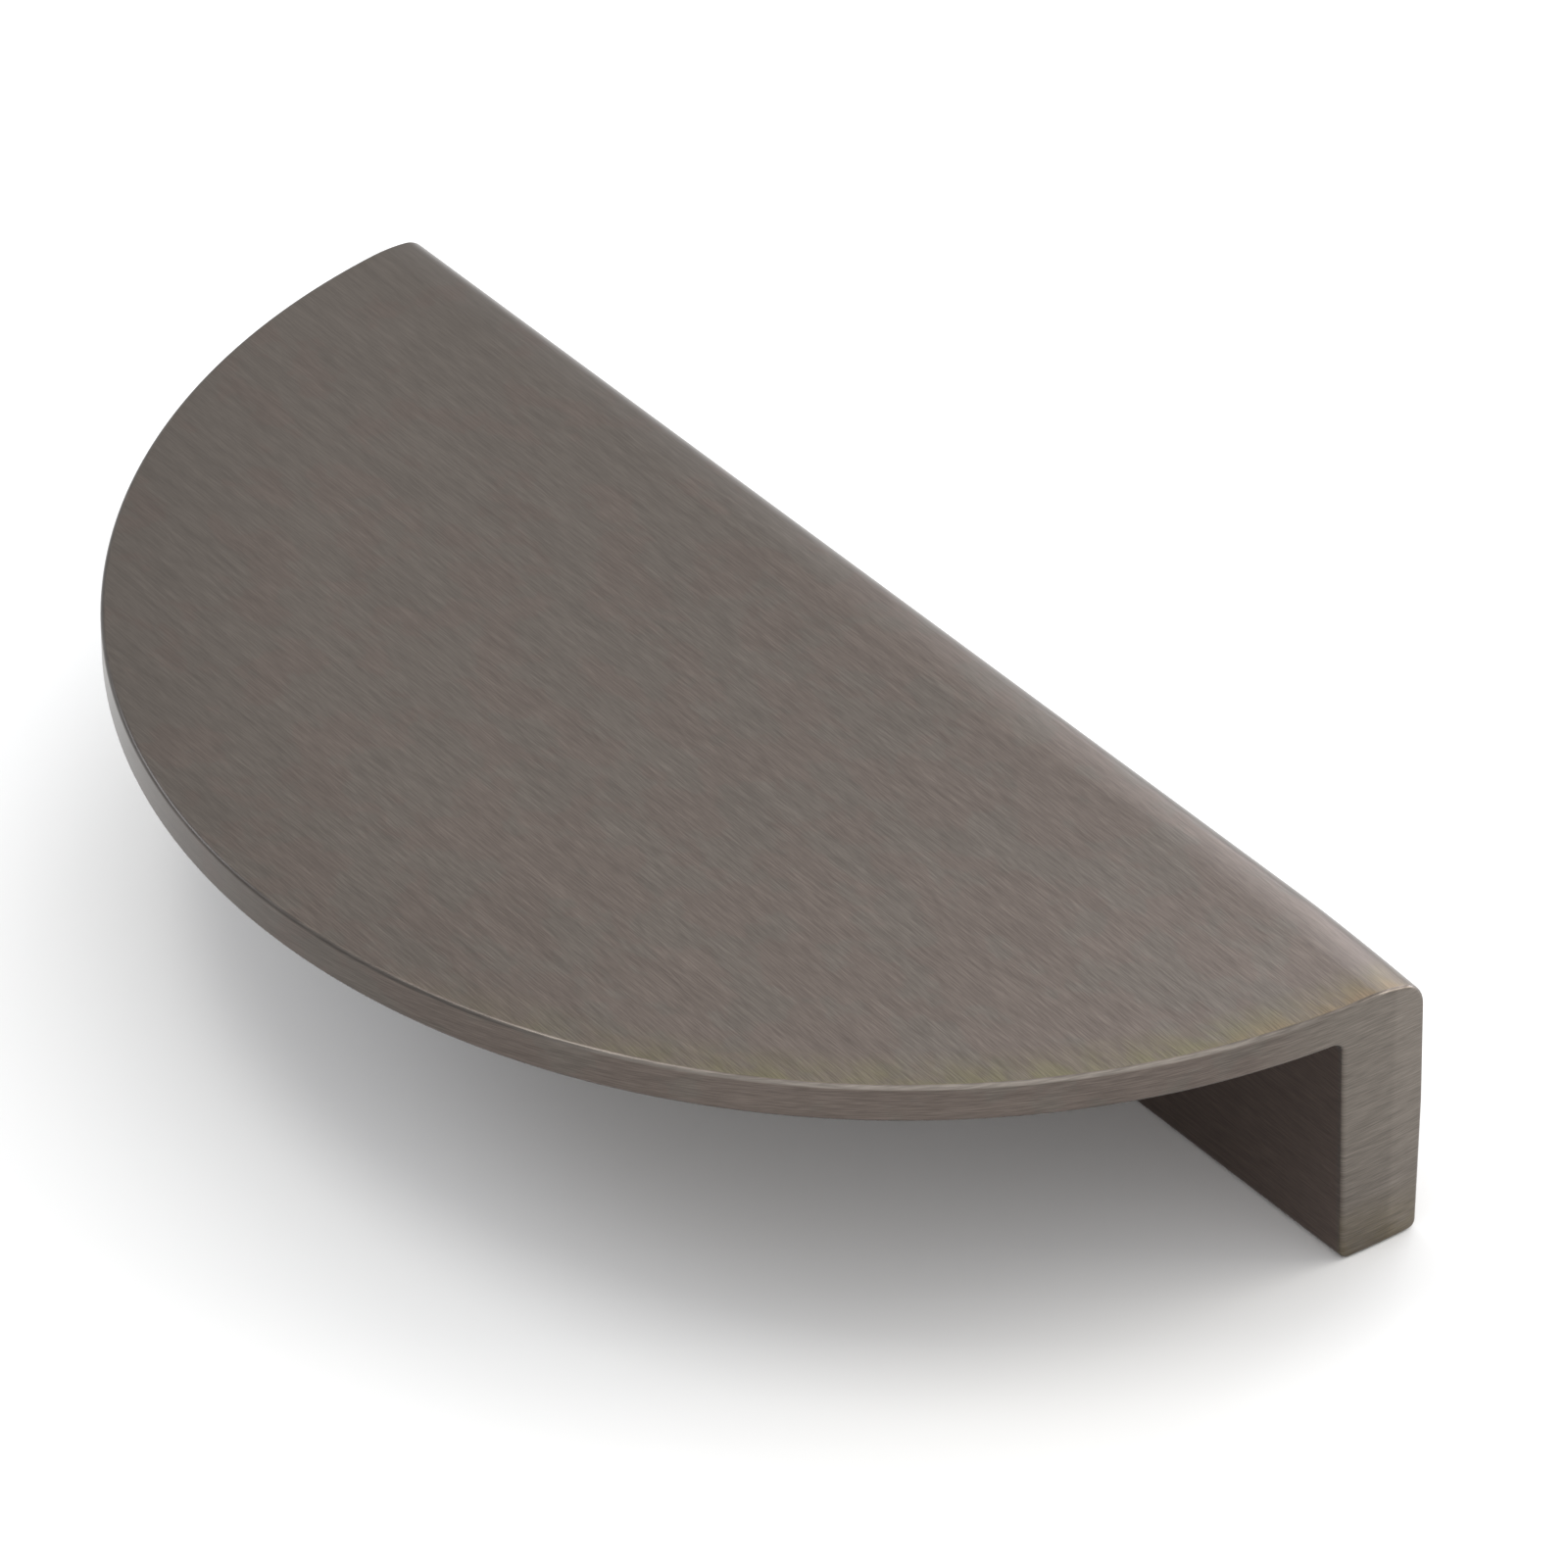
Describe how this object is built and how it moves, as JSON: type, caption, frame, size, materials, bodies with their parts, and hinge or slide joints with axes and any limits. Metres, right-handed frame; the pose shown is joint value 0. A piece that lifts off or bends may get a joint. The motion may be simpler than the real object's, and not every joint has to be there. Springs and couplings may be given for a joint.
{
  "type": "half-moon cabinet pull",
  "caption": "Half-round edge pull for a cabinet door or drawer: a one-piece L-section plate on a straight leg, fixed from behind by machine screws.",
  "frame": {"origin": "centre of the leg's flat seat on the door, midway between the two tapped holes", "axes": "+X along the straight edge of the plate, the round side points to -Y, +Z points out of the door, towards the plate's outer face"},
  "size_m": [0.13, 0.066, 0.0439],
  "materials": {
    "brushed_gunmetal": "zinc casting, plated and brushed along the chord, gunmetal lacquer",
    "zinc_plated_steel": "bright zinc plating"
  },
  "bodies": {
    "pull": {"pull_body": "brushed_gunmetal"},
    "left_screw": {"left_fixing_screw": "zinc_plated_steel"},
    "right_screw": {"right_fixing_screw": "zinc_plated_steel"}
  },
  "joints": [
    {"name": "left_screw_out", "type": "slide", "parent": "pull", "child": "left_screw", "axis": [0, 0, -1], "range_m": [0, 0.012]},
    {"name": "right_screw_out", "type": "slide", "parent": "pull", "child": "right_screw", "axis": [0, 0, -1], "range_m": [0, 0.012]}
  ]
}
